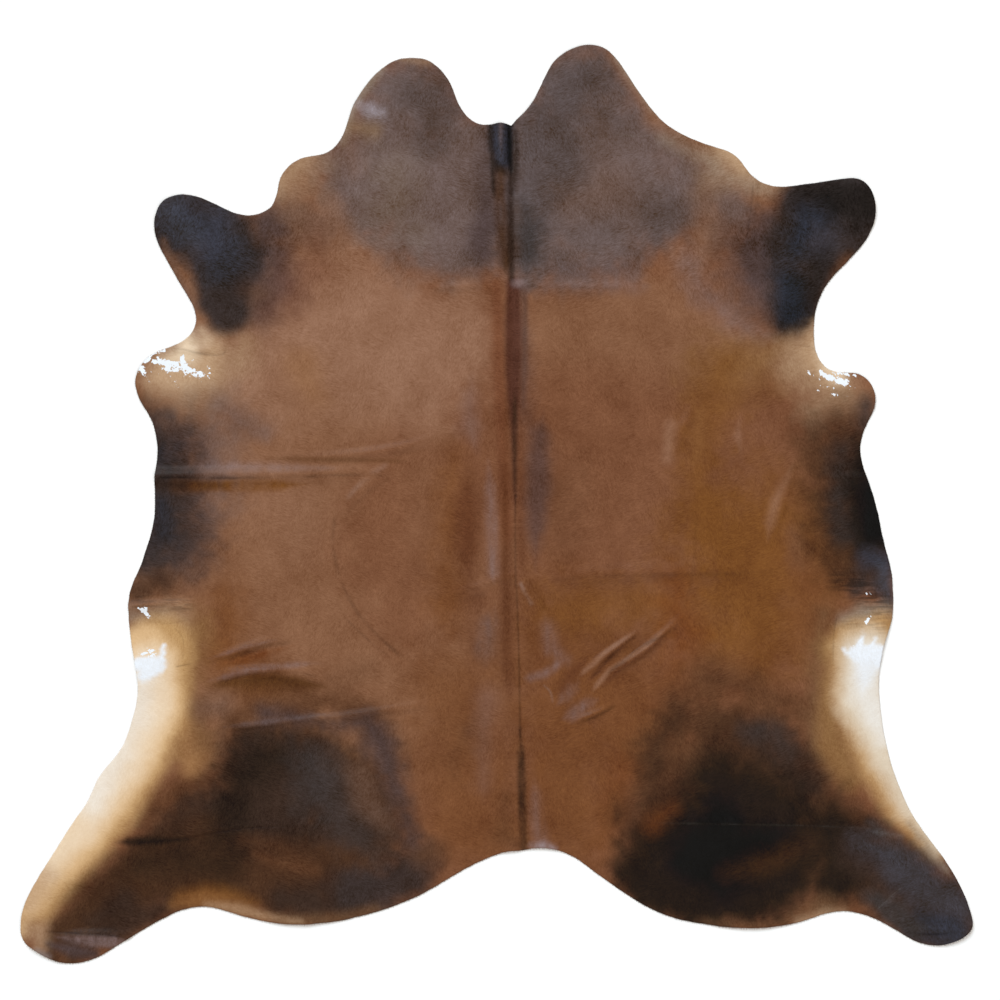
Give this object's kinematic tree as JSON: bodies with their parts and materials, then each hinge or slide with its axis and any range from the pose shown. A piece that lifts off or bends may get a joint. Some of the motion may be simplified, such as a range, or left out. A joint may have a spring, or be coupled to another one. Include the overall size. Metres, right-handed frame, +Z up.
{
  "type": "cowhide rug",
  "caption": "Whole natural cowhide with the hair on, one trimmed skin lying flat, with neck lobes, legs, packing folds and flank wrinkles.",
  "frame": {"origin": "middle of the hide's box, on the floor under it", "axes": "+Z up out of the hair side, +Y from the tail to the neck, +X to the right of someone who stands at the tail and looks to the neck"},
  "size_m": [2.094, 2.022, 0.0133],
  "materials": {
    "hair_coat": "short brown hair with a soft sheen, suede flesh side"
  },
  "bodies": {
    "root": {"hide": "hair_coat"}
  },
  "joints": []
}
